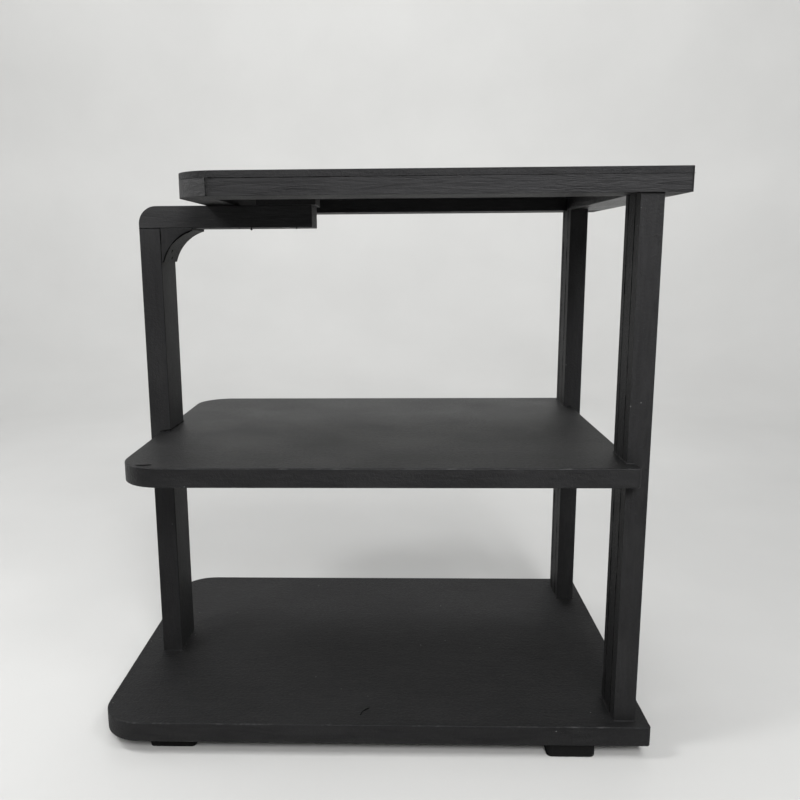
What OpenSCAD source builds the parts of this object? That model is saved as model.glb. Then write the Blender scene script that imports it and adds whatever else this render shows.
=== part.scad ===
// Three-tier side table in painted board: a base board, a middle shelf and a
// rimmed top. Two laminated legs stand on the right. On the left one leg
// carries a short arm that reaches in under the top.
// X runs left to right, Y front to back, Z up. The origin is on the floor,
// under the middle of the whole table. All sizes are in millimetres.

/* [Base board] */
// Width of the base board, left to right
base_w = 508; // [420:1:640]
// Depth of the base board, front to back
base_d = 348; // [280:1:450]
// Thickness of the base board
base_t = 19; // [14:0.5:30]
// Radius of the two left corners of every board
corner_r = 38; // [20:1:60]
// Radius of the two right corners of every board
eased_r = 3; // [1:0.5:8]

/* [Heights] */
// Clear height between the base board and the shelf
lower_clear = 226; // [150:1:320]
// Clear height between the shelf and the underside of the rim
upper_clear = 227; // [150:1:320]

/* [Shelf] */
// Thickness of the shelf
shelf_t = 17.5; // [12:0.5:26]
// How far the left leg stands out past the left edge of the shelf
shelf_reveal_left = 10; // [4:0.5:16]
// How far the right legs stand out past the right edge of the shelf
shelf_reveal_right = 11; // [4:0.5:14]
// How far the shelf's front edge stands in front of the base board
shelf_lip_front = 6; // [0:0.5:20]
// How far the shelf's back edge stops short of the base board
shelf_lip_back = 7; // [0:0.5:20]
// Gap between a leg and each side of its notch in the shelf
notch_gap = 0.4; // [0.1:0.1:1]

/* [Top] */
// Width of the top, left to right
top_w = 427; // [360:1:500]
// How far the top runs out past the right legs
top_overhang_right = 22.5; // [10:0.5:40]
// How far the top's front edge is set back from the base board's
top_setback_front = 8; // [0:0.5:10]
// How far the top's back edge runs out past the base board's
top_overhang_back = 10; // [0:0.5:30]
// Thickness of the panel
panel_t = 6; // [4:0.5:12]
// Thickness of the rim strips under the panel
rim_t = 14.5; // [13:0.5:24]
// Width of the front and back rim strips
rim_w = 50; // [40:1:60]
// Width of the left rim strip and of the corner blocks at its ends
corner_block_w = 30; // [24:1:60]

/* [Right legs] */
// Distance from the base board's right edge to the right legs
right_inset = 12; // [4:0.5:30]
// Width of a right leg, left to right
right_leg_w = 19.5; // [14:0.5:30]
// Depth of the front strip of a right leg
front_strip_d = 14; // [10:0.5:24]
// Depth of the middle strip of a right leg
core_strip_d = 20.5; // [14:0.5:30]
// Depth of the back strip of a right leg
back_strip_d = 10.5; // [8:0.5:20]
// Distance from the base board's front edge to the front right leg
front_leg_setback = 10.5; // [9:0.5:40]
// Distance from the base board's back edge to the back right leg
back_leg_setback = 19; // [8:0.5:60]

/* [Left leg and arm] */
// Distance from the base board's left edge to the left leg
left_inset = 24; // [10:0.5:50]
// Width of the left leg, left to right
left_leg_w = 21; // [18:0.5:30]
// Depth of the left leg and of the arm
left_leg_d = 52; // [40:1:80]
// Distance from the base board's front edge to the left leg
left_leg_setback = 141; // [80:1:180]
// Thickness of the arm
arm_t = 21.5; // [16:0.5:30]
// How far the arm reaches in under the left end of the top
arm_reach = 104; // [94:1:160]
// Radius of the arm's outer top corner
arm_corner_r = 17.5; // [8:0.5:20]
// Length of the spacer block between the arm and the panel
spacer_len = 58; // [30:1:62]
// How far the spacer block runs past the end of the arm
spacer_past_arm = 3.5; // [0:0.5:10]

/* [Gusset] */
// Length of the gusset along the leg
gusset_leg_len = 33; // [26:0.5:45]
// Length of the gusset along the arm
gusset_arm_len = 32; // [26:0.5:45]
// Radius of the gusset's hollow curve
gusset_r = 43; // [43:0.5:60]
// Gap between the hollow curve and each face that it would touch
gusset_tip = 0.5; // [0.3:0.1:3]

/* [Feet] */
// Side of a square foot pad
foot_w = 44; // [30:1:60]
// Height of a foot pad
foot_h = 14.5; // [6:0.5:30]
// Radius of a foot pad's upright corners
foot_corner_r = 5; // [1:0.5:12]
// Distance from the base board's left edge to the left foot pads
left_foot_inset = 44; // [38:1:80]
// Distance from the base board's right edge to the right foot pads
right_foot_inset = 48; // [38:1:80]
// Distance from the base board's front edge to the front left foot pad
front_left_foot_setback = 15; // [0:1:40]
// Distance from the base board's front edge to the front right foot pad
front_right_foot_setback = 5; // [0:1:40]
// Distance from the base board's back edge to both back foot pads
back_foot_setback = 12; // [0:1:40]

/* [Screws and brads] */
// Diameter of a wood screw's shank
screw_d = 4; // [3:0.5:5]
// Diameter of a wood screw's countersunk head
screw_head_d = 8; // [7:0.5:9]
// Height of a wood screw's countersunk head
screw_head_h = 3; // [2:0.5:4]
// Gap between a screw and the wall of its hole
screw_gap = 0.05; // [0.02:0.01:0.2]
// Distance between the two screws in the end of the left leg
screw_pitch = 26; // [16:1:32]
// How far a screw in the end of a leg goes into it
leg_bite = 34; // [20:1:45]
// How far a screw through a leg goes into the edge of the shelf
shelf_bite = 24; // [15:1:35]
// How far a screw through the arm goes into the spacer block
spacer_bite = 9; // [6:0.5:12]
// Depth that the arm's screw heads are sunk below its top face
arm_screw_sink = 2; // [1:0.5:4]
// Diameter of a brad's shank
brad_d = 1.8; // [1.2:0.1:2.5]
// Diameter of a brad's head
brad_head_d = 2.8; // [2.6:0.1:3.5]
// Thickness of a brad's head
brad_head_h = 1; // [0.6:0.1:1.5]
// How far a brad goes into the piece behind
brad_bite = 9; // [6:0.5:12]
// Depth that a brad's head is sunk below the gusset's curve
brad_sink = 1; // [0.5:0.1:2]

/* [Hidden] */
$fn = 96;
// Slack that makes a cut run clear of the face it starts on
cut = 1;

PAINT = [0.085, 0.085, 0.088];
EDGE_PAINT = [0.13, 0.13, 0.13];
PAD = [0.05, 0.05, 0.05];
STEEL = [0.35, 0.35, 0.36];

// Levels, from the floor up
base_z = foot_h;
base_top = base_z + base_t;
shelf_z = base_top + lower_clear;
shelf_top = shelf_z + shelf_t;
rim_z = shelf_top + upper_clear;
panel_z = rim_z + rim_t;
arm_z = rim_z - arm_t;

// Plan positions, from the base board's front left corner
left_leg_x = left_inset;
left_leg_x1 = left_leg_x + left_leg_w;
right_leg_x1 = base_w - right_inset;
right_leg_x = right_leg_x1 - right_leg_w;
right_leg_d = front_strip_d + core_strip_d + back_strip_d;
front_leg_y = front_leg_setback;
back_leg_y = base_d - back_leg_setback - right_leg_d;

shelf_x = left_leg_x + shelf_reveal_left;
shelf_x1 = right_leg_x1 - shelf_reveal_right;
shelf_y = -shelf_lip_front;
shelf_y1 = base_d - shelf_lip_back;

top_x1 = right_leg_x1 + top_overhang_right;
top_x = top_x1 - top_w;
top_y = top_setback_front;
top_y1 = base_d + top_overhang_back;
// The right rim's inner edge lines up with the right legs' inner faces
right_rim_w = top_overhang_right + right_leg_w;

arm_x1 = top_x + arm_reach;
spacer_x1 = arm_x1 + spacer_past_arm;
spacer_x = spacer_x1 - spacer_len;
arm_mid_y = left_leg_setback + left_leg_d / 2;
leg_mid_x = left_leg_x + left_leg_w / 2;
// Far enough in from the arm's rounded corner for a flat seat
arm_screw_x = left_leg_x1 - screw_head_d / 2 - 1;

// The whole table's middle in plan
mid_x = (min(0, top_x) + max(base_w, top_x1)) / 2;
mid_y = (min(0, shelf_y, top_y) + max(base_d, shelf_y1, top_y1)) / 2;

// Centre of a right leg in X, and of its screwed strips in Y
right_mid_x = right_leg_x + right_leg_w / 2;
function front_strip_mid(y) = y + front_strip_d / 2;
function core_strip_mid(y) = y + front_strip_d + core_strip_d / 2;

right_leg_ys = [front_leg_y, back_leg_y];
left_screw_ys = [arm_mid_y - screw_pitch / 2, arm_mid_y + screw_pitch / 2];
right_screw_ys = [for (y = right_leg_ys) each [front_strip_mid(y), core_strip_mid(y)]];

// Heights and front-to-back places of the gusset's brads, from the arm's
// underside and from the leg's front face
gusset_brads_at = [[22, 0.35], [18, 0.88], [29, 0.55]];

// Places of the panel's brads, in plan
brad_columns = 4;
brad_edge = rim_w / 2;
brad_x0 = top_x + corner_block_w + brad_edge;
brad_x1 = top_x1 - right_rim_w / 2;
brad_step = (brad_x1 - brad_x0) / (brad_columns - 1);
top_mid_y = (top_y + top_y1) / 2;
panel_brads_at = [
    for (y = [top_y + brad_edge, top_y1 - brad_edge])
        for (i = [0 : brad_columns - 1]) [brad_x0 + i * brad_step, y],
    for (y = [top_y + brad_edge, top_y1 - brad_edge])
        [top_x + corner_block_w * 0.6, y],
    for (x = [top_x + corner_block_w / 2, brad_x1])
        for (y = [top_mid_y - rim_w, top_mid_y + rim_w]) [x, y]
];

// ---- Shared shapes ----

// Moves a piece from the base board's corner to the table's own origin
module placed() {
    translate([-mid_x, -mid_y, 0]) children();
}

// A box given by its lowest and highest corners
module block(lo, hi) {
    translate(lo) cube(hi - lo);
}

// A rectangle with two corner radii, one for the left side, one for the right
module outline(w, d, left_r, right_r) {
    translate([left_r, 0]) square([w - left_r - right_r, d]);
    translate([0, left_r]) square([left_r, d - 2 * left_r]);
    translate([w - right_r, right_r]) square([right_r, d - 2 * right_r]);
    for (y = [left_r, d - left_r]) translate([left_r, y]) circle(r = left_r);
    for (y = [right_r, d - right_r]) translate([w - right_r, y]) circle(r = right_r);
}

// The outline of a board between two plan corners, extruded from z
module board(x0, y0, x1, y1, z, t) {
    translate([x0, y0, z])
        linear_extrude(t) outline(x1 - x0, y1 - y0, corner_r, eased_r);
}

// A countersunk screw, head at the origin and pointing up +Z, with a cross
// recess in its head
module screw(len) {
    arm = screw_head_d * 0.55;
    slot = screw_head_d * 0.13;
    depth = screw_head_h * 0.7;
    difference() {
        screw_body(len, 0);
        translate([-arm / 2, -slot / 2, -cut]) cube([arm, slot, depth + cut]);
        translate([-slot / 2, -arm / 2, -cut]) cube([slot, arm, depth + cut]);
    }
}

// The solid of a screw, or of its hole when gap is more than 0
module screw_body(len, gap) {
    cylinder(h = screw_head_h, d1 = screw_head_d + 2 * gap, d2 = screw_d + 2 * gap);
    cylinder(h = len, d = screw_d + 2 * gap);
}

// The hole for a screw, open below its head by the depth that it is sunk
module screw_hole(len, sink = 0) {
    screw_body(len, screw_gap);
    translate([0, 0, -sink - cut])
        cylinder(h = sink + cut, d = screw_head_d + 2 * screw_gap);
}

// A brad, head at the origin and pointing up +Z
module brad(len, gap = 0) {
    cylinder(h = brad_head_h, d = brad_head_d + 2 * gap);
    cylinder(h = len, d = brad_d + 2 * gap);
}

// The hole for a brad, open below its head by the depth that it is sunk
module brad_hole(len, sink) {
    brad(len, screw_gap);
    translate([0, 0, -sink - cut])
        cylinder(h = sink + cut, d = brad_head_d + 2 * screw_gap);
}

// ---- Fastener places: each puts its children at every such fastener ----

base_screw_len = base_t + leg_bite;
module at_base_screws() {
    for (y = left_screw_ys) translate([leg_mid_x, y, base_z]) children();
    for (y = right_screw_ys) translate([right_mid_x, y, base_z]) children();
}

rim_screw_len = rim_t + leg_bite;
module at_rim_screws() {
    for (y = right_screw_ys)
        translate([right_mid_x, y, panel_z]) rotate([180, 0, 0]) children();
}

left_shelf_screw_len = left_leg_w + shelf_bite;
right_shelf_screw_len = right_leg_w + shelf_bite;
shelf_mid_z = shelf_z + shelf_t / 2;
module at_left_shelf_screws() {
    for (y = left_screw_ys)
        translate([left_leg_x, y, shelf_mid_z]) rotate([0, 90, 0]) children();
}
module at_right_shelf_screws() {
    for (y = right_leg_ys)
        translate([right_leg_x1, core_strip_mid(y), shelf_mid_z])
            rotate([0, -90, 0]) children();
}

arm_screw_len = arm_t - arm_screw_sink + leg_bite;
module at_arm_screws() {
    for (y = left_screw_ys)
        translate([arm_screw_x, y, rim_z - arm_screw_sink])
            rotate([180, 0, 0]) children();
}

spacer_screw_len = arm_t + spacer_bite;
module at_spacer_screws() {
    for (y = left_screw_ys)
        translate([(spacer_x + arm_x1) / 2, y, arm_z]) children();
}

// How thick the gusset is beside the leg, at a distance below the arm
function gusset_thickness(down) =
    gusset_r + gusset_tip - sqrt(gusset_r ^ 2 - (gusset_r + gusset_tip - down) ^ 2);

// Each gusset brad's head sits below the curve, and its tip is in the leg
module at_gusset_brads() {
    for (b = gusset_brads_at)
        translate([
            left_leg_x1 + gusset_thickness(b[0] + brad_head_d / 2) - brad_sink,
            left_leg_setback + b[1] * left_leg_d,
            arm_z - b[0]
        ])
            rotate([0, -90, 0]) children();
}
gusset_brad_len = 16;

panel_brad_len = panel_t + brad_bite;
module at_panel_brads() {
    for (b = panel_brads_at)
        translate([b[0], b[1], panel_z + panel_t]) rotate([180, 0, 0]) children();
}

// ---- Boards ----

module base_board() {
    placed() color(PAINT) difference() {
        board(0, 0, base_w, base_d, base_z, base_t);
        at_base_screws() screw_hole(base_screw_len);
    }
}

// The part of a leg that the shelf is notched round, with the notch gap
module notch(x0, y, d, x1) {
    block([x0, y - notch_gap, shelf_z - cut], [x1, y + d + notch_gap, shelf_top + cut]);
}

module shelf_board() {
    placed() color(PAINT) difference() {
        board(shelf_x, shelf_y, shelf_x1, shelf_y1, shelf_z, shelf_t);
        notch(left_leg_x, left_leg_setback, left_leg_d, left_leg_x1);
        for (y = right_leg_ys) notch(right_leg_x, y, right_leg_d, right_leg_x1);
        at_left_shelf_screws() screw_hole(left_shelf_screw_len);
        at_right_shelf_screws() screw_hole(right_shelf_screw_len);
    }
}

module top_panel() {
    placed() color(PAINT) difference() {
        board(top_x, top_y, top_x1, top_y1, panel_z, panel_t);
        at_panel_brads() brad_hole(panel_brad_len, 0);
    }
}

// ---- Rim under the panel ----

// A rim strip or corner block: the part of the top's outline inside a box
module rim_piece(x0, y0, x1, y1) {
    placed() color(EDGE_PAINT) difference() {
        intersection() {
            board(top_x, top_y, top_x1, top_y1, rim_z, rim_t);
            block([x0, y0, rim_z], [x1, y1, panel_z]);
        }
        at_rim_screws() screw_hole(rim_screw_len);
        at_panel_brads() brad_hole(panel_brad_len, 0);
    }
}

module top_rim_front() {
    rim_piece(top_x + corner_block_w, top_y, top_x1, top_y + rim_w);
}

module top_rim_back() {
    rim_piece(top_x + corner_block_w, top_y1 - rim_w, top_x1, top_y1);
}

module top_rim_left() {
    rim_piece(top_x, top_y + rim_w, top_x + corner_block_w, top_y1 - rim_w);
}

module top_rim_right() {
    rim_piece(top_x1 - right_rim_w, top_y + rim_w, top_x1, top_y1 - rim_w);
}

module top_corner_front() {
    rim_piece(top_x, top_y, top_x + corner_block_w, top_y + rim_w);
}

module top_corner_back() {
    rim_piece(top_x, top_y1 - rim_w, top_x + corner_block_w, top_y1);
}

// ---- Left leg, arm, gusset and spacer ----

module left_leg() {
    placed() color(PAINT) difference() {
        block([left_leg_x, left_leg_setback, base_top],
              [left_leg_x1, left_leg_setback + left_leg_d, arm_z]);
        at_base_screws() screw_hole(base_screw_len);
        at_arm_screws() screw_hole(arm_screw_len);
        at_left_shelf_screws() screw_hole(left_shelf_screw_len);
        at_gusset_brads() brad(gusset_brad_len, screw_gap);
    }
}

// The arm's side view, with its outer top corner rounded
module arm_profile() {
    square([arm_x1 - left_leg_x, arm_t - arm_corner_r]);
    translate([arm_corner_r, 0]) square([arm_x1 - left_leg_x - arm_corner_r, arm_t]);
    translate([arm_corner_r, arm_t - arm_corner_r]) circle(r = arm_corner_r);
}

module arm() {
    placed() color(EDGE_PAINT) difference() {
        translate([left_leg_x, left_leg_setback + left_leg_d, arm_z])
            rotate([90, 0, 0]) linear_extrude(left_leg_d)
                intersection() {
                    arm_profile();
                    square([arm_x1 - left_leg_x, arm_t]);
                }
        at_arm_screws() screw_hole(arm_screw_len, arm_screw_sink);
        at_spacer_screws() screw_hole(spacer_screw_len);
    }
}

module gusset() {
    placed() color(PAINT) difference() {
        block([left_leg_x1, left_leg_setback, arm_z - gusset_leg_len],
              [left_leg_x1 + gusset_arm_len, left_leg_setback + left_leg_d, arm_z]);
        translate([
            left_leg_x1 + gusset_r + gusset_tip,
            left_leg_setback + left_leg_d + cut,
            arm_z - gusset_r - gusset_tip
        ])
            rotate([90, 0, 0]) cylinder(h = left_leg_d + 2 * cut, r = gusset_r);
        at_gusset_brads() brad_hole(gusset_brad_len, 4 * brad_sink);
    }
}

module spacer_block() {
    placed() color(EDGE_PAINT) difference() {
        block([spacer_x, left_leg_setback, rim_z],
              [spacer_x1, left_leg_setback + left_leg_d, panel_z]);
        at_spacer_screws() screw_hole(spacer_screw_len);
    }
}

// ---- Right legs, each laminated from three upright strips ----

// One strip from y, d deep, from the base board up to the rim
module strip(y, d) {
    placed() color(PAINT) difference() {
        block([right_leg_x, y, base_top], [right_leg_x1, y + d, rim_z]);
        at_base_screws() screw_hole(base_screw_len);
        at_rim_screws() screw_hole(rim_screw_len);
        at_right_shelf_screws() screw_hole(right_shelf_screw_len);
    }
}

module front_leg_front_strip() {
    strip(front_leg_y, front_strip_d);
}

module front_leg_core_strip() {
    strip(front_leg_y + front_strip_d, core_strip_d);
}

module front_leg_back_strip() {
    strip(front_leg_y + front_strip_d + core_strip_d, back_strip_d);
}

module back_leg_front_strip() {
    strip(back_leg_y, front_strip_d);
}

module back_leg_core_strip() {
    strip(back_leg_y + front_strip_d, core_strip_d);
}

module back_leg_back_strip() {
    strip(back_leg_y + front_strip_d + core_strip_d, back_strip_d);
}

// ---- Foot pads ----

module foot(x, y) {
    placed() color(PAD) translate([x, y, 0])
        linear_extrude(foot_h) outline(foot_w, foot_w, foot_corner_r, foot_corner_r);
}

right_foot_x = base_w - right_foot_inset - foot_w;
back_foot_y = base_d - back_foot_setback - foot_w;

module foot_front_left() {
    foot(left_foot_inset, front_left_foot_setback);
}

module foot_front_right() {
    foot(right_foot_x, front_right_foot_setback);
}

module foot_back_left() {
    foot(left_foot_inset, back_foot_y);
}

module foot_back_right() {
    foot(right_foot_x, back_foot_y);
}

// ---- Fasteners ----

module base_screws() {
    placed() color(STEEL) at_base_screws() screw(base_screw_len);
}

module shelf_screws() {
    placed() color(STEEL) {
        at_left_shelf_screws() screw(left_shelf_screw_len);
        at_right_shelf_screws() screw(right_shelf_screw_len);
    }
}

module rim_screws() {
    placed() color(STEEL) at_rim_screws() screw(rim_screw_len);
}

module arm_screws() {
    placed() color(STEEL) at_arm_screws() screw(arm_screw_len);
}

module spacer_screws() {
    placed() color(STEEL) at_spacer_screws() screw(spacer_screw_len);
}

module gusset_brads() {
    placed() color(STEEL) at_gusset_brads() brad(gusset_brad_len);
}

module panel_brads() {
    placed() color(STEEL) at_panel_brads() brad(panel_brad_len);
}

base_board();
shelf_board();
top_panel();
top_rim_front();
top_rim_back();
top_rim_left();
top_rim_right();
top_corner_front();
top_corner_back();
left_leg();
arm();
gusset();
spacer_block();
front_leg_front_strip();
front_leg_core_strip();
front_leg_back_strip();
back_leg_front_strip();
back_leg_core_strip();
back_leg_back_strip();
foot_front_left();
foot_front_right();
foot_back_left();
foot_back_right();
base_screws();
shelf_screws();
rim_screws();
arm_screws();
spacer_screws();
gusset_brads();
panel_brads();
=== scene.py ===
"""Looks of the black side table: painted wood, rubber feet, painted-over fasteners, a pale studio."""
import math

import bmesh
import bpy
from mathutils import Matrix, Vector, noise


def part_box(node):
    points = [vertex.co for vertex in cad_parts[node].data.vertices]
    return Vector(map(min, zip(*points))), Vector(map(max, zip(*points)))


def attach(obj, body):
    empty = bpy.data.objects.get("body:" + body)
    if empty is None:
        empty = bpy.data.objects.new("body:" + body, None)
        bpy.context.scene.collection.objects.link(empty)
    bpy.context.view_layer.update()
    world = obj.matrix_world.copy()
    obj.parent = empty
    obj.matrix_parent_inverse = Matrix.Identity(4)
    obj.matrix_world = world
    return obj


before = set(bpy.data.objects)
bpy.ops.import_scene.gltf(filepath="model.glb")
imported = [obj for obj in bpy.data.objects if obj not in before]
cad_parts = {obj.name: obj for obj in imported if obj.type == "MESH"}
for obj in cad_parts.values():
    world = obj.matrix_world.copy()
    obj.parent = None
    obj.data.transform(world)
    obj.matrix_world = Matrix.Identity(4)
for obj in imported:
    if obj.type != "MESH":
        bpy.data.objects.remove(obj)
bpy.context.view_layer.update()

MM = 0.001

# Camera: in front of the table, a little right of its middle, looking slightly down and left.
CAMERA_AT = (18.5 * MM, -861.3 * MM, 457.4 * MM)
CAMERA_TURN = math.radians(1.72)
CAMERA_DOWN = math.radians(10.86)
CAMERA_ROLL = math.radians(-0.42)
LENS = 37.1
SHIFT = (0.035, 0.0136)


# ---------------------------------------------------------------- studio


def make_camera():
    data = bpy.data.cameras.new("photo_camera")
    data.lens = LENS
    data.shift_x, data.shift_y = SHIFT
    camera = bpy.data.objects.new("photo_camera", data)
    turn = Matrix.Rotation(CAMERA_TURN, 4, "Z")
    tilt = Matrix.Rotation(math.radians(90) - CAMERA_DOWN, 4, "X")
    roll = Matrix.Rotation(CAMERA_ROLL, 4, "Z")
    camera.matrix_world = Matrix.Translation(CAMERA_AT) @ turn @ tilt @ roll
    bpy.context.scene.collection.objects.link(camera)
    bpy.context.scene.camera = camera


def area_light(name, at, aim, size, power):
    """A soft round light at one place, pointed at another, that the camera doesn't see."""
    data = bpy.data.lights.new(name, "AREA")
    data.shape = "DISK"
    data.size = size
    data.energy = power
    light = bpy.data.objects.new(name, data)
    light.visible_camera = False
    light.location = at
    light.rotation_mode = "QUATERNION"
    light.rotation_quaternion = (Vector(aim) - Vector(at)).to_track_quat("-Z", "Y")
    bpy.context.scene.collection.objects.link(light)


def mesh_object(name, mesh, material):
    made = bpy.data.objects.new(name, mesh)
    made.data.materials.append(material)
    bpy.context.scene.collection.objects.link(made)
    return made


class Shader:
    """A material's node tree, with a short call for each kind of node used here."""

    def __init__(self, name):
        self.material = bpy.data.materials.new(name)
        self.material.use_nodes = True
        self.tree = self.material.node_tree
        self.surface = self.tree.nodes["Principled BSDF"]
        self.coords = self.tree.nodes.new("ShaderNodeTexCoord").outputs["Object"]

    def put(self, socket, value):
        if isinstance(value, bpy.types.NodeSocket):
            self.tree.links.new(value, socket)
        else:
            socket.default_value = value

    def add(self, kind, inputs, **settings):
        made = self.tree.nodes.new(kind)
        for key, value in settings.items():
            setattr(made, key, value)
        for key, value in inputs.items():
            self.put(made.inputs[key], value)
        return made

    def noise(self, cells, detail=3.0, rough=0.5, warp=0.0, shift=0.0):
        """Noise from 0 to 1; cells is how many features fit in a metre along x, y and z."""
        place = self.add(
            "ShaderNodeMapping", {0: self.coords, "Location": (shift,) * 3, "Scale": cells}
        )
        inputs = {
            "Vector": place.outputs[0],
            "Scale": 1.0,
            "Detail": detail,
            "Roughness": rough,
            "Distortion": warp,
        }
        return self.add("ShaderNodeTexNoise", inputs).outputs["Fac"]

    def span(self, value, low, high, to_low=0.0, to_high=1.0):
        made = self.add(
            "ShaderNodeMapRange", {0: value, 1: low, 2: high, 3: to_low, 4: to_high}, clamp=True
        )
        return made.outputs[0]

    def math(self, operation, first, second):
        return self.add("ShaderNodeMath", {0: first, 1: second}, operation=operation).outputs[0]

    def mix(self, amount, first, second):
        made = self.add("ShaderNodeMix", {0: amount, 6: first, 7: second}, data_type="RGBA")
        return made.outputs[2]

    def specks(self, shift):
        """1 on small scattered specks of dust caught in the paint, 0 elsewhere."""
        place = self.add("ShaderNodeMapping", {0: self.coords, "Location": (shift,) * 3})
        cells = self.add("ShaderNodeTexVoronoi", {"Vector": place.outputs[0], "Scale": 110.0})
        near = self.span(cells.outputs["Distance"], 0.05, 0.065, 1.0, 0.0)
        pick = self.add("ShaderNodeSeparateColor", {0: cells.outputs["Color"]})
        return self.math("MULTIPLY", near, self.span(pick.outputs[0], 0.9, 0.91))

    def bump(self, height, depth):
        made = self.add("ShaderNodeBump", {"Height": height, "Distance": depth, "Strength": 1.0})
        self.put(self.surface.inputs["Normal"], made.outputs[0])

    def finish(self, **inputs):
        for key, value in inputs.items():
            self.put(self.surface.inputs[key.replace("_", " ")], value)
        return self.material


def grey(level):
    return (level, level, level, 1)


def paper(level):
    """The backdrop's off-white, a little short of blue."""
    return (level, level * 0.998, level * 0.982, 1)


def backdrop_material():
    """Pale paper, faintly mottled. It is a little paler up the wall than on the floor: painted
    light, which evens the wall out against the more brightly lit floor.
    """
    shader = Shader("backdrop_paper")
    mottle = shader.span(shader.noise((3, 3, 3), detail=4), 0.3, 0.7)
    height = shader.add("ShaderNodeSeparateXYZ", {0: shader.coords}).outputs["Z"]
    floor = shader.mix(mottle, paper(0.54), paper(0.57))
    wall = shader.mix(mottle, paper(0.62), paper(0.65))
    shader.bump(shader.noise((300, 300, 300)), 0.1 * MM)
    # Wall paler than floor: painted light.
    colour = shader.mix(shader.span(height, 0.05, 0.7), floor, wall)
    return shader.finish(Base_Color=colour, Roughness=0.95, Specular_IOR_Level=0.1)


# The cove: radius of its flat floor, radius of the curve up to the wall, the wall's height, and
# how finely the curve and the circle are cut.
FLOOR_RADIUS = 1.7
FOOT_RADIUS = 1.1
WALL_HEIGHT = 3.4
FOOT_STEPS = 16
COVE_SIDES = 128


def cove_profile():
    """Radius and height of each ring of the cove, from the middle of the floor to the wall's top."""
    profile = [(0.0, 0.0), (FLOOR_RADIUS, 0.0)]
    for step in range(1, FOOT_STEPS + 1):
        turn = math.radians(90) * step / FOOT_STEPS
        radius = FLOOR_RADIUS + FOOT_RADIUS * math.sin(turn)
        profile.append((radius, FOOT_RADIUS * (1 - math.cos(turn))))
    profile.append((FLOOR_RADIUS + FOOT_RADIUS, WALL_HEIGHT))
    return profile


def make_stage():
    """A round pale cove: flat floor, curved foot and upright wall, open above."""
    shape = bmesh.new()
    rings = []
    for radius, height in cove_profile():
        if radius == 0:
            rings.append([shape.verts.new((0, 0, height))])
            continue
        turns = (math.tau * step / COVE_SIDES for step in range(COVE_SIDES))
        places = ((radius * math.cos(t), radius * math.sin(t), height) for t in turns)
        rings.append([shape.verts.new(place) for place in places])
    for lower, upper in zip(rings, rings[1:]):
        for step in range(COVE_SIDES):
            nxt = (step + 1) % COVE_SIDES
            corners = [lower[step % len(lower)], upper[step], upper[nxt], lower[nxt % len(lower)]]
            shape.faces.new(list(dict.fromkeys(corners)))
    mesh = bpy.data.meshes.new("cove")
    shape.normal_update()
    shape.to_mesh(mesh)
    shape.free()
    mesh.shade_smooth()
    mesh_object("cove", mesh, backdrop_material())


def make_lights():
    """Each light's place, what it points at, how wide it is in metres, and its power in watts."""
    middle = (0, 0, 0.4)
    area_light("main_front", (0.3, -1.6, 1.2), middle, 0.5, 25)
    area_light("near_left", (-0.7, -0.44, 1.05), (0, -0.1, 0.4), 0.3, 6)
    area_light("near_right", (0.5, -0.8, 1.1), (0.2, -0.1, 0.5), 0.35, 5)
    area_light("left_soft", (-1.7, 0.2, 0.8), middle, 0.9, 7)
    area_light("back_wall_left", (-0.8, 1.3, 2.6), (-1.0, 2.5, 0.5), 1.2, 16.5)
    area_light("back_wall_right", (0.6, 1.3, 2.6), (0.8, 2.5, 0.5), 1.2, 13.2)
    area_light("front_wall_wash", (0, -1.6, 2.6), (0, -2.7, 0.8), 1.2, 9)
    area_light("back_floor_wash", (0, 1.2, 1.9), (0, 1.6, 0), 0.8, 12)
    world = bpy.data.worlds.new("sky")
    world.use_nodes = True
    sky = world.node_tree.nodes["Background"]
    sky.inputs["Color"].default_value = (0.9, 0.95, 1.0, 1)
    sky.inputs["Strength"].default_value = 0.15
    bpy.context.scene.world = world
    bpy.context.scene.view_settings.view_transform = "Standard"


# ---------------------------------------------------------------- materials


X, Y, Z = 0, 1, 2

# How strongly brush strokes, wood grain and stipple stand out on each kind of part, as shares of
# RELIEF_DEPTH.
RELIEF = {
    "painted_board": (0.25, 0.10, 1.1),
    "painted_rim": (0.75, 0.75, 0.55),
    "painted_leg": (0.40, 0.35, 1.0),
}
RELIEF_DEPTH = 0.6 * MM

# The paint's gloss and a faint cool tint on its reflections, painted in for cool bounce light,
# how rough it is where it lies smooth and where it is stippled, and its mean grey.
GLOSS = 0.23
COOL_REFLECTION_TINT = (0.965, 0.96, 1.0, 1)
ROUGH_LOW = 0.5
ROUGH_HIGH = 0.64
PAINT_TONE = 0.0065

# The greys of rubbed edges, lighter also as a painted highlight along them, and of dust caught
# in the paint.
RUBBED_AND_HIGHLIGHT_GREY = 0.03
DUST_GREY = 0.16


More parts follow.
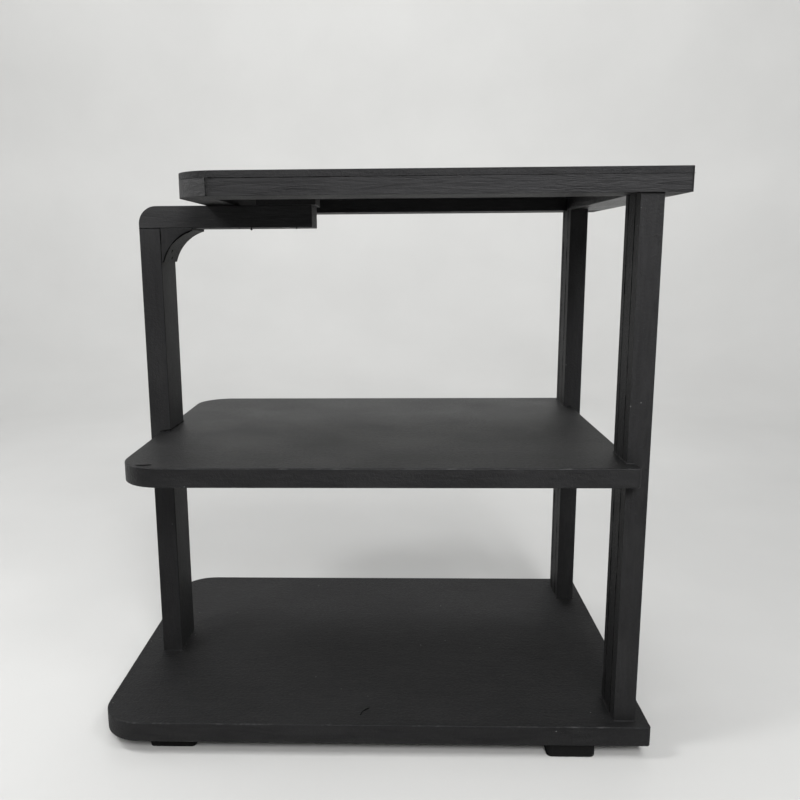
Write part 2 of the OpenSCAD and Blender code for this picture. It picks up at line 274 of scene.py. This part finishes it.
def painted_wood(name, along, seed, finish, worn_highlight=False, tone=PAINT_TONE, satin=0.0):
    """Satin black paint brushed over wood, with the brush and the grain running along one axis.

    worn_highlight is the look of rubbed edges, greyer where the brush left the paint thin and
    lighter as a painted highlight along them. tone is the paint's mean grey. satin is how much
    smoother than the rest this paint has levelled.
    """
    shader = Shader(name)
    brush_share, grain_share, stipple_share = RELIEF[finish]

    def streaks(along_cells, across_cells):
        return tuple(along_cells if axis == along else across_cells for axis in (X, Y, Z))

    strokes = shader.noise(streaks(35, 420), detail=3, rough=0.5, warp=1.0, shift=seed)
    grain = shader.noise(streaks(20, 170), detail=4, rough=0.6, warp=1.6, shift=seed + 3)
    stipple = shader.noise((380, 380, 380), detail=3, rough=0.7, shift=seed + 5)
    patches = shader.noise((13, 13, 13), detail=3, shift=seed + 7)
    brushed = shader.math("MULTIPLY", strokes, brush_share)
    grained = shader.math("MULTIPLY", grain, grain_share)
    stippled = shader.math("MULTIPLY", stipple, stipple_share)
    height = shader.math("ADD", shader.math("ADD", brushed, grained), stippled)
    shader.bump(height, RELIEF_DEPTH)
    cloudy = shader.span(shader.math("ADD", grain, patches), 0.75, 1.25)
    colour = shader.mix(cloudy, grey(tone * 0.6), grey(tone * 1.6))
    # Rubbed edges: a lighter grey that is partly wear and partly a painted highlight.
    if worn_highlight:
        thin = shader.noise((60, 60, 60), detail=5, rough=0.7, shift=seed)
        colour = shader.mix(shader.span(thin, 0.5, 0.64), colour, grey(RUBBED_AND_HIGHLIGHT_GREY))
    colour = shader.mix(shader.specks(seed), colour, grey(DUST_GREY))
    uneven = shader.math("ADD", stipple, patches)
    rough = shader.span(uneven, 0.7, 1.3, ROUGH_LOW - satin, ROUGH_HIGH - satin)
    return shader.finish(
        # The cool tint on the reflections is painted light.
        Base_Color=colour, Roughness=rough, Specular_IOR_Level=GLOSS, Specular_Tint=COOL_REFLECTION_TINT
    )


def crevice_material():
    """The dark line of an open joint, which the paint bridges only in places."""
    shader = Shader("joint_shadow")
    crumbs = shader.noise((700, 700, 700), detail=3)
    shader.bump(crumbs, 0.2 * MM)
    colour = shader.mix(shader.span(crumbs, 0.45, 0.7), grey(0.0008), grey(0.004))
    return shader.finish(Base_Color=colour, Roughness=0.9, Specular_IOR_Level=0.05)


def rubber_material():
    shader = Shader("pad_rubber_look")
    grain = shader.noise((900, 900, 900), detail=4)
    shader.bump(grain, 0.15 * MM)
    colour = shader.mix(shader.span(grain, 0.35, 0.65), grey(0.002), grey(0.005))
    return shader.finish(Base_Color=colour, Roughness=0.8, Specular_IOR_Level=0.15)


def fastener_material():
    """Steel under the same paint, bare where it has chipped off."""
    shader = Shader("fastener_look")
    bare = shader.span(shader.noise((500, 500, 500), detail=4), 0.47, 0.55)
    shader.bump(shader.noise((900, 900, 900)), 0.05 * MM)
    colour = shader.mix(bare, grey(0.01), grey(0.3))
    return shader.finish(Base_Color=colour, Roughness=0.4, Metallic=bare)


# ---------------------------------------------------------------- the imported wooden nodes


# Each wooden node's grain axis.
GRAIN = {
    "base_board": X,
    "shelf_board": X,
    "top_panel": X,
    "top_rim_front": X,
    "top_rim_back": X,
    "top_rim_left": Y,
    "top_rim_right": Y,
    "top_corner_front": X,
    "top_corner_back": X,
    "arm": X,
    "spacer_block": Y,
    "gusset": Z,
    "left_leg": Z,
    "front_leg_front_strip": Z,
    "front_leg_core_strip": Z,
    "front_leg_back_strip": Z,
    "back_leg_front_strip": Z,
    "back_leg_core_strip": Z,
    "back_leg_back_strip": Z,
}

# How far the noise moves on from one node to the next, so that no grain runs on across a joint.
SEED_STEP = 1.7

# The material slot of rounded edges.
EDGE_SLOT = 1

# Rounding: steps across an edge, and how sharp an edge has to be.
ROUND_STEPS = 3
SHARP_ANGLE = math.radians(40)


def soften(node, width):
    """Rounds the node's sharp edges by modifiers, which leave its own vertices as they are."""
    weld = node.modifiers.new("weld", "WELD")
    weld.merge_threshold = 0.01 * MM
    flat = node.modifiers.new("whole_faces", "DECIMATE")
    flat.decimate_type = "DISSOLVE"
    flat.angle_limit = math.radians(1)
    bevel = node.modifiers.new("soft_edges", "BEVEL")
    bevel.width = width
    bevel.segments = ROUND_STEPS
    bevel.limit_method = "ANGLE"
    bevel.angle_limit = SHARP_ANGLE
    bevel.use_clamp_overlap = False
    bevel.material = EDGE_SLOT
    node.modifiers.new("normals", "WEIGHTED_NORMAL")


# How far edges are rounded: boards by hand sanding, glued joints only by the paint.
SEAM_ROUND = 0.3 * MM
PAD_ROUND = 0.8 * MM
EDGE_ROUND = {
    "base_board": 1.1 * MM,
    "shelf_board": 1.0 * MM,
    "left_leg": 0.9 * MM,
    "arm": 0.8 * MM,
}

# The boards whose edges are rubbed grey and lightened as a painted highlight.
WORN_HIGHLIGHT_EDGES = ("base_board", "shelf_board")

# How much smoother the paint has levelled, for some nodes, and for the rest by their finish.
SATIN = {
    "shelf_board": 0.07,
    "base_board": -0.1,
    "top_rim_right": 0.2,
    "painted_board": -0.05,
    "painted_rim": 0.0,
    "painted_leg": -0.06,
}

# The nodes painted a lighter grey: painted light, standing in for the extra light and highlight
# these faces catch from the lamps, on the corner blocks' curves most of all.
PAINTED_LIGHT_TONE = {
    "top_corner_front": 0.016,
    "top_corner_back": 0.012,
    "top_rim_front": 0.0075,
    "arm": 0.0095,
    "front_leg_front_strip": 0.0075,
    "back_leg_front_strip": 0.008,
}


def dress_wood():
    for seed, (name, along) in enumerate(GRAIN.items()):
        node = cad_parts[name]
        finish = node.data.materials[0].name
        satin = SATIN.get(name, SATIN[finish])
        look = {
            "along": along,
            "seed": seed * SEED_STEP,
            "finish": finish,
            # A lighter grey on some nodes is painted light.
            "tone": PAINTED_LIGHT_TONE.get(name, PAINT_TONE),
            "satin": satin,
        }
        faces = edges = painted_wood(name + "_paint", **look)
        if name in WORN_HIGHLIGHT_EDGES:
            edges = painted_wood(name + "_edge_paint", worn_highlight=True, **look)
        node.data.materials[0] = faces
        node.data.materials.append(edges)
        soften(node, EDGE_ROUND.get(name, SEAM_ROUND))


def dress_hardware():
    rubber, steel = rubber_material(), fastener_material()
    for name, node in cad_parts.items():
        if name in GRAIN:
            continue
        is_foot = name.startswith("foot")
        node.data.materials[0] = rubber if is_foot else steel
        if is_foot:
            node.data.materials.append(rubber)
            soften(node, PAD_ROUND)


# ---------------------------------------------------------------- paint and filler


def smooth_path(corners, closed, step):
    """Points about a step apart along the straight stretches between the corners."""
    points = []
    stretches = zip(corners, corners[1:] + corners[:1]) if closed else zip(corners, corners[1:])
    for start, end in stretches:
        count = max(2, round((end - start).length / step))
        points += [start.lerp(end, index / count) for index in range(count)]
    if not closed:
        points.append(corners[-1])
    return points


# A direction that no tube here runs along, so that every ring can be squared up from it.
OFF_AXIS = Vector((0.31, 0.17, 0.93))


def ring_round(point, ahead, size, sides):
    """Points in a circle round the point, square to the way ahead."""
    across = ahead.cross(OFF_AXIS).normalized()
    upward = ahead.cross(across)
    turns = (math.tau * side / sides for side in range(sides))
    return [point + size * (across * math.cos(t) + upward * math.sin(t)) for t in turns]


def lumpy_tube(name, points, radius, closed=False, sides=8, material=None):
    """A tube along the points. radius(place, share) gives each ring's radius in metres."""
    shape = bmesh.new()
    count = len(points)
    rings = []
    for index, point in enumerate(points):
        before = points[index - 1] if index or closed else point
        after = points[(index + 1) % count] if index + 1 < count or closed else point
        ahead = (after - before).normalized()
        size = radius(point, index / max(1, count - 1))
        rings.append([shape.verts.new(place) for place in ring_round(point, ahead, size, sides)])
    joints = list(zip(rings, rings[1:] + rings[:1])) if closed else list(zip(rings, rings[1:]))
    for first, second in joints:
        for side in range(sides):
            nxt = (side + 1) % sides
            shape.faces.new((first[side], first[nxt], second[nxt], second[side]))
    if not closed:
        shape.faces.new(list(reversed(rings[0])))
        shape.faces.new(rings[-1])
    bmesh.ops.recalc_face_normals(shape, faces=shape.faces)
    mesh = bpy.data.meshes.new(name)
    shape.to_mesh(mesh)
    shape.free()
    mesh.shade_smooth()
    piece = mesh_object(name, mesh, material or PAINT_FILLER)
    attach(piece, "root")


def bead(name, corners, closed, mean, seed):
    """A hand-run line of filler, painted over, in the corner where two pieces meet."""

    def radius(place, share):
        coarse = noise.noise((place + Vector((seed, 0, 0))) * 230)
        fine = noise.noise(place * 700)
        return mean * max(0.35, 1 + 0.9 * (coarse + 0.6 * fine))

    lumpy_tube(name, smooth_path(corners, closed, 1.2 * MM), radius, closed)


def joined_box(names):
    """The lowest and highest corner of several nodes together."""
    lows, highs = zip(*(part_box(name) for name in names))
    low = Vector(min(corner[axis] for corner in lows) for axis in (X, Y, Z))
    high = Vector(max(corner[axis] for corner in highs) for axis in (X, Y, Z))
    return low, high


# The gusset's hollow curve: its radius, how far it stays from the leg and the arm, its steps.
GUSSET_RADIUS = 43 * MM
GUSSET_TIP = 0.5 * MM
CURVE_STEPS = 16

LEGS = {
    "left": ["left_leg"],
    "front": ["front_leg_front_strip", "front_leg_core_strip", "front_leg_back_strip"],
    "back": ["back_leg_front_strip", "back_leg_core_strip", "back_leg_back_strip"],
}


def leg_beads():
    """Filler where each leg meets the base, and round its notch on both faces of the shelf."""
    base_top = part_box("base_board")[1].z
    shelf_low, shelf_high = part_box("shelf_board")
    for seed, (leg, names) in enumerate(LEGS.items()):
        low, high = joined_box(names)
        around = [(low.x, low.y), (high.x, low.y), (high.x, high.y), (low.x, high.y)]
        bead(leg + "_base_bead", [Vector((x, y, base_top)) for x, y in around], True, 0.7 * MM, seed)
        inner_x, board_x = (high.x, shelf_low.x) if leg == "left" else (low.x, shelf_high.x)
        notch = [(board_x, low.y), (inner_x, low.y), (inner_x, high.y), (board_x, high.y)]
        for side, level in (("over", shelf_high.z), ("under", shelf_low.z)):
            corners = [Vector((x, y, level)) for x, y in notch]
            bead(f"{leg}_shelf_bead_{side}", corners, False, 0.8 * MM, seed + 5)


def seam(name, corners, size, seed, fade=0.0):
    """A dark open joint line. It narrows where paint has filled it, and fades along its way."""

    def radius(place, share):
        coarse = noise.noise((place + Vector((seed, 0, 0))) * 60)
        fine = noise.noise(place * 400)
        width = min(1.2, max(0.12, 0.6 + 0.9 * (coarse + 0.5 * fine)))
        return size * (1 - fade * share) * width

    points = smooth_path([Vector(corner) for corner in corners], False, 2 * MM)
    lumpy_tube(name, points, radius, sides=6, material=JOINT_SHADOW)


def top_seams():
    """Panel to rim along every side, and the two corner blocks let into the rim."""
    (left, front, level), (right, back, _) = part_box("top_panel")
    front_low, front_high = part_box("top_corner_front")
    back_low, back_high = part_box("top_corner_back")
    bottom = front_low.z
    front_x, back_x = front_high.x, back_high.x
    seam("seam_front", [(front_x, front, level), (right, front, level)], 0.38 * MM, 1, 0.6)
    seam("seam_right", [(right, front, level), (right, back, level)], 0.4 * MM, 2)
    seam("seam_back", [(right, back, level), (back_x, back, level)], 0.4 * MM, 3)
    seam("seam_left", [(left, front_high.y, level), (left, back_low.y, level)], 0.4 * MM, 4)
    seam("seam_block_front", [(front_x, front, bottom), (front_x, front, level)], 0.5 * MM, 5)
    seam("seam_block_back", [(back_x, back, bottom), (back_x, back, level)], 0.5 * MM, 6)


def gusset_curve(low, high):
    """Points in x and z along the gusset's hollow curve, from its foot to its tip under the arm."""
    centre_x = low.x + GUSSET_RADIUS + GUSSET_TIP
    centre_z = high.z - GUSSET_RADIUS - GUSSET_TIP
    first = math.asin((low.z - centre_z) / GUSSET_RADIUS)
    last = math.acos((centre_x - high.x) / GUSSET_RADIUS)
    points = []
    for step in range(CURVE_STEPS + 1):
        turn = first + (last - first) * step / CURVE_STEPS
        x = centre_x - GUSSET_RADIUS * math.cos(turn)
        points.append((x, centre_z + GUSSET_RADIUS * math.sin(turn)))
    return points


def left_leg_seams():
    """The arm sits on the leg's end, and the gusset is glued into the corner under it."""
    leg_low, leg_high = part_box("left_leg")
    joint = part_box("arm")[0].z
    front, back = leg_low.y, leg_high.y
    ring = [(leg_high.x, front), (leg_low.x, front), (leg_low.x, back), (leg_high.x, back)]
    seam("seam_arm", [(x, y, joint) for x, y in ring], 0.4 * MM, 7)
    gusset_low, gusset_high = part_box("gusset")
    for number, y in enumerate((gusset_low.y, gusset_high.y)):
        upright = [(leg_high.x, y, gusset_low.z), (leg_high.x, y, joint)]
        seam(f"seam_gusset_{number}", upright, 0.55 * MM, 8 + number)
    # A dark line along the gusset's curved front edge.
    outline = [(x, front, z) for x, z in gusset_curve(gusset_low, gusset_high)]
    seam("gusset_outline", outline, 0.8 * MM, 33)


def strip_seams():
    """The right legs' glue lines, on both broad faces, between the shelf, the base and the rim."""
    base_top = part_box("base_board")[1].z
    shelf_low, shelf_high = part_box("shelf_board")
    for leg in ("front", "back"):
        low, high = joined_box(LEGS[leg])
        parts = (("lower", (shelf_low.z, base_top)), ("upper", (high.z, shelf_high.z)))
        for number, strip in enumerate(LEGS[leg][:2]):
            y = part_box(strip)[1].y
            for face, x in (("inner", low.x), ("outer", high.x)):
                for part, ends in parts:
                    name = f"seam_{leg}_{face}_{part}_{number}"
                    seam(name, [(x, y, end) for end in ends], 0.58 * MM, number * 3, 0.5)


# Drips under the arm's front edge: how far along the arm, and how big.
DRIPS = ((0.58, 0.8 * MM), (0.65, 1.5 * MM), (0.91, 1.0 * MM))


def arm_drips():
    low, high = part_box("arm")
    for number, (share, size) in enumerate(DRIPS):
        top = Vector((low.x + share * (high.x - low.x), low.y + 0.8 * size, low.z + 0.4 * size))
        points = smooth_path([top, top - Vector((0, 0, 2.2 * size))], False, 0.2 * size)

        def swell(place, down, size=size):
            """Thin where the drip hangs on, and widest in its lower half."""
            return size * (0.08 + 0.75 * math.sin(math.pi * down**1.5) ** 0.8)

        lumpy_tube(f"arm_drip_{number}", points, swell)


def shelf_gap():
    """A dark line where the filler has shrunk round the left leg, climbing from front to side."""
    low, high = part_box("left_leg")
    board_low, board_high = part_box("shelf_board")
    proud = 0.25 * MM
    climb = [(board_low.x, low.y - proud, 0.6 * MM), (high.x - 6 * MM, low.y - proud, 1.5 * MM)]
    climb += [(high.x + proud, low.y - proud, 2.6 * MM), (high.x + proud, high.y, 1.2 * MM)]
    corners = [(x, y, board_high.z + z) for x, y, z in climb]
    seam("gap_left_shelf", corners, 0.8 * MM, 12)


def on_board(board, share_x, share_y):
    """A point on the board's top face, from its shares of the way across."""
    low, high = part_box(board)
    x = low.x + share_x * (high.x - low.x)
    y = low.y + share_y * (high.y - low.y)
    return Vector((x, y, high.z))


# Where the shelf's crack and the base's nick run, as shares of the way across their boards.
CRACK_AT = ((0.036, 0.031), (0.050, 0.026), (0.066, 0.034))
NICK_AT = ((0.480, 0.048), (0.483, 0.066), (0.495, 0.083))


def marks():
    """Small damage: a splinter at the shelf's front left corner, a nick near the base's front."""
    crack = [on_board("shelf_board", *shares) for shares in CRACK_AT]
    seam("shelf_crack", crack, 0.7 * MM, 20)

    def thin(place, share):
        return 0.75 * MM * (0.15 + math.sin(math.pi * share) ** 0.7)

    splinter = [point + Vector((0, 1.0 * MM, 0.1 * MM)) for point in crack]
    lumpy_tube("shelf_splinter", smooth_path(splinter, False, 1 * MM), thin)
    nick = [on_board("base_board", *shares) for shares in NICK_AT]
    seam("base_nick", nick, 0.8 * MM, 23)


def islands(node):
    """The lowest and highest corner of each separate solid in the node."""
    shape = bmesh.new()
    shape.from_mesh(node.data)
    bmesh.ops.remove_doubles(shape, verts=shape.verts, dist=0.01 * MM)
    left = set(shape.verts)
    boxes = []
    while left:
        found = set()
        waiting = [min(left, key=lambda vert: vert.index)]
        while waiting:
            vert = waiting.pop()
            if vert not in found:
                found.add(vert)
                waiting += [link.other_vert(vert) for link in vert.link_edges]
        left -= found
        low = Vector(min(vert.co[axis] for vert in found) for axis in (X, Y, Z))
        high = Vector(max(vert.co[axis] for vert in found) for axis in (X, Y, Z))
        boxes.append((low, high))
    shape.free()
    return boxes


# A brad's ring: its radius as a share of the head's width, and its steps.
RING_REACH = 0.62
RING_STEPS = 16


def brad_rings(node_name, axis):
    """A dark broken ring round each brad's sunk head, at the brad's high end along axis: painted
    shade in the hole round the head.
    """

    def swell(place, share):
        return (0.3 + 0.14 * noise.noise(place * 900)) * MM

    for number, (low, high) in enumerate(islands(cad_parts[node_name])):
        centre = (low + high) / 2
        centre[axis] = high[axis]
        first = Vector()
        second = Vector()
        first[(axis + 1) % 3] = 1
        second[(axis + 2) % 3] = 1
        reach = RING_REACH * (high - low)[(axis + 1) % 3]
        turns = (math.tau * step / RING_STEPS for step in range(RING_STEPS))
        circle = [centre + reach * (math.cos(t) * first + math.sin(t) * second) for t in turns]
        lumpy_tube(f"{node_name}_ring_{number}", circle, swell, True, 6, JOINT_SHADOW)


make_camera()
make_stage()
make_lights()
dress_wood()
dress_hardware()
PAINT_FILLER = painted_wood("filler_paint", Z, 40, "painted_leg")
JOINT_SHADOW = crevice_material()
leg_beads()
top_seams()
left_leg_seams()
strip_seams()
arm_drips()
shelf_gap()
marks()
brad_rings("gusset_brads", X)
brad_rings("panel_brads", Z)
